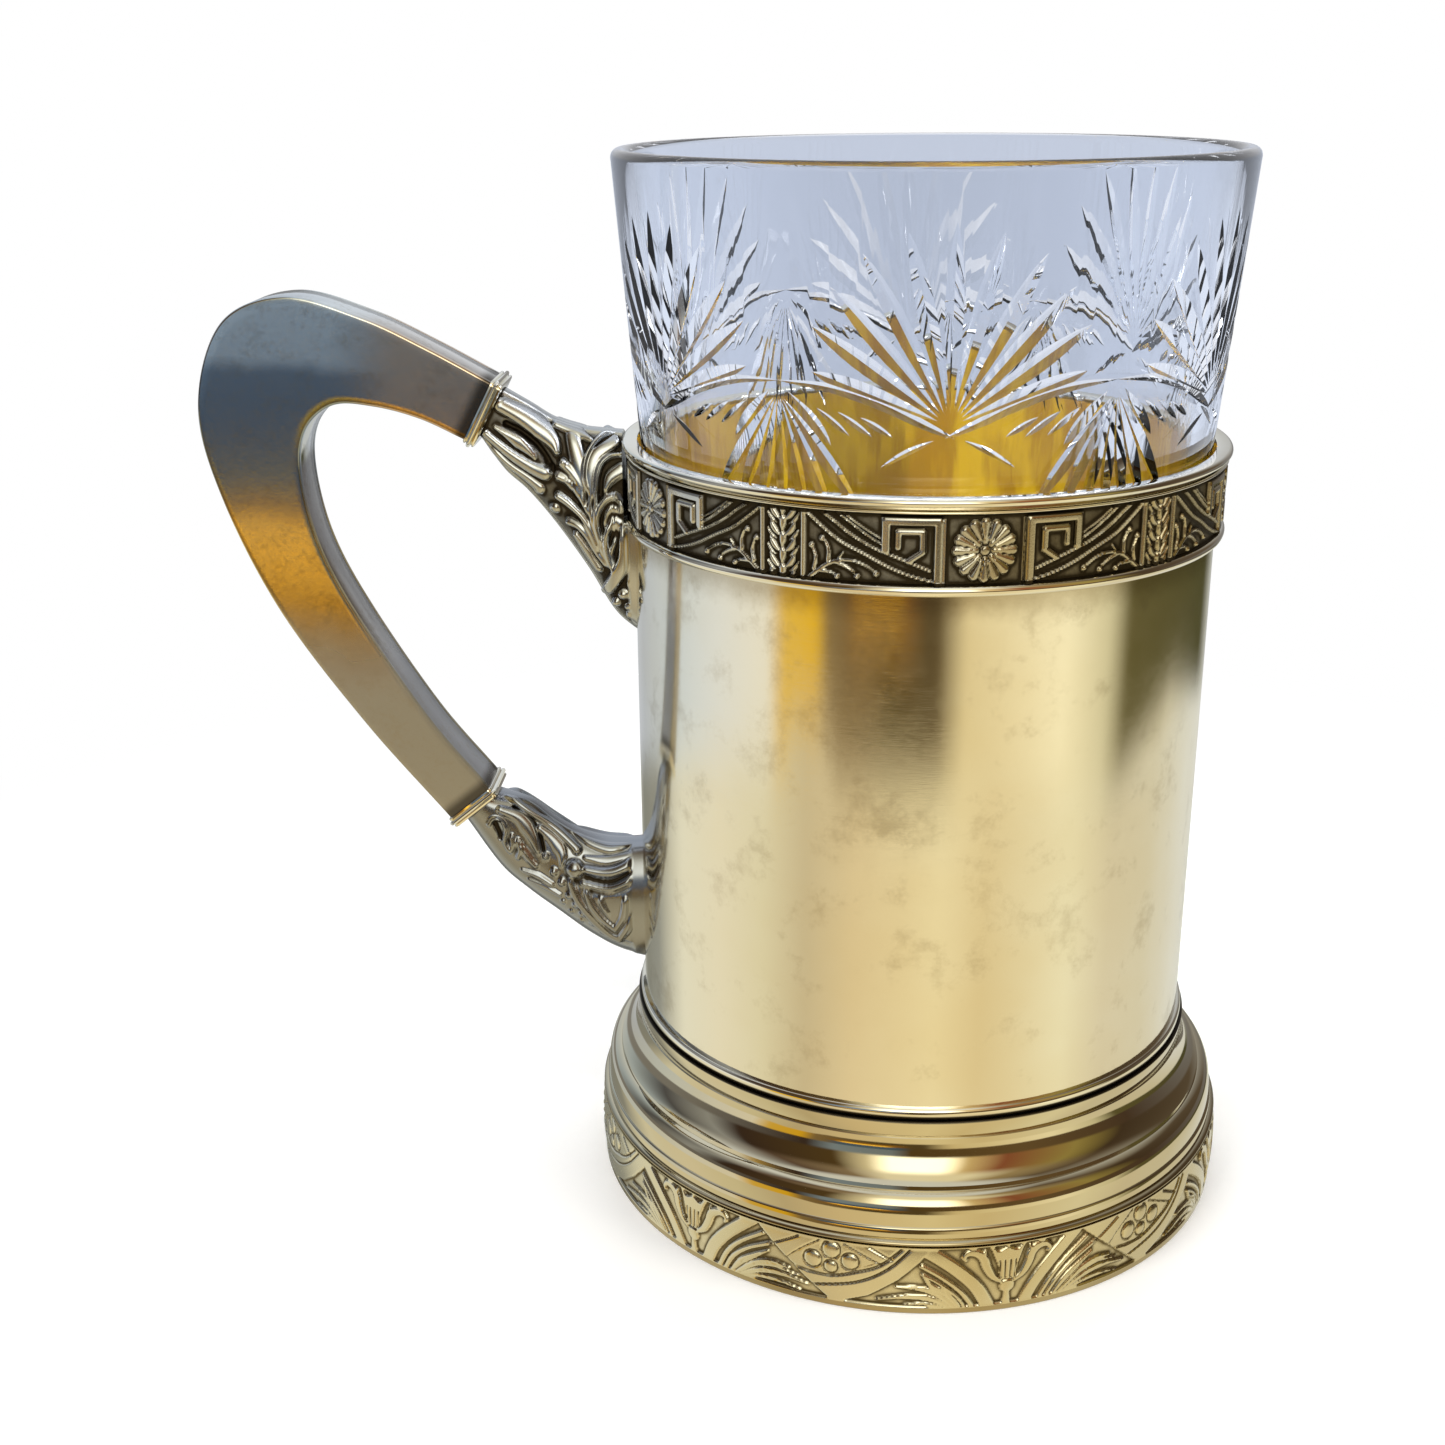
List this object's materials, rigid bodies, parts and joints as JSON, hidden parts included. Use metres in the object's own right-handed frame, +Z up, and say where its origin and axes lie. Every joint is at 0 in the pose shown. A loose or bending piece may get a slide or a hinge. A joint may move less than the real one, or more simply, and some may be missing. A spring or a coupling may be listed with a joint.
{
  "type": "tea glass holder",
  "caption": "Metal tea glass holder with a hollow loop handle, a stamped frieze and a moulded relief foot, holding a cut crystal tea glass that lifts out.",
  "frame": {"origin": "on the sleeve's axis, on the plane that the foot rests on", "axes": "+Z up along the sleeve's axis, -X towards the handle, -Y towards the side that the picture shows"},
  "size_m": [0.1288, 0.0824, 0.1297],
  "materials": {
    "satin_silver": "satin silver with a warm tarnish and fine brush lines",
    "bright_silver": "polished silver",
    "relief_silver": "stamped relief, pale on its tops and dull in its grooves",
    "oxidised_silver": "relief with blackened ground and polished tops",
    "gilt": "gilded inside",
    "crystal": "clear cut crystal with a faint blue tint"
  },
  "bodies": {
    "holder": {"sleeve": "satin_silver", "floor_disc": "gilt", "rim_lip": "bright_silver", "frieze_upper_wire": "bright_silver", "frieze_band": "oxidised_silver", "frieze_lower_wire": "bright_silver", "sleeve_foot_wire": "bright_silver", "foot_cove": "bright_silver", "foot_ovolo": "bright_silver", "foot_bead": "bright_silver", "foot_band": "relief_silver", "foot_base_ring": "satin_silver", "grip_near_cheek": "satin_silver", "grip_far_cheek": "satin_silver", "grip_outer_strip": "satin_silver", "grip_inner_strip": "satin_silver", "upper_collar": "bright_silver", "lower_collar": "bright_silver", "upper_bracket": "oxidised_silver", "lower_bracket": "oxidised_silver"},
    "glass": {"tea_glass": "crystal"}
  },
  "joints": [
    {"name": "glass_lift", "type": "slide", "parent": "holder", "child": "glass", "axis": [0, 0, 1], "range_m": [0, 0.11]}
  ]
}
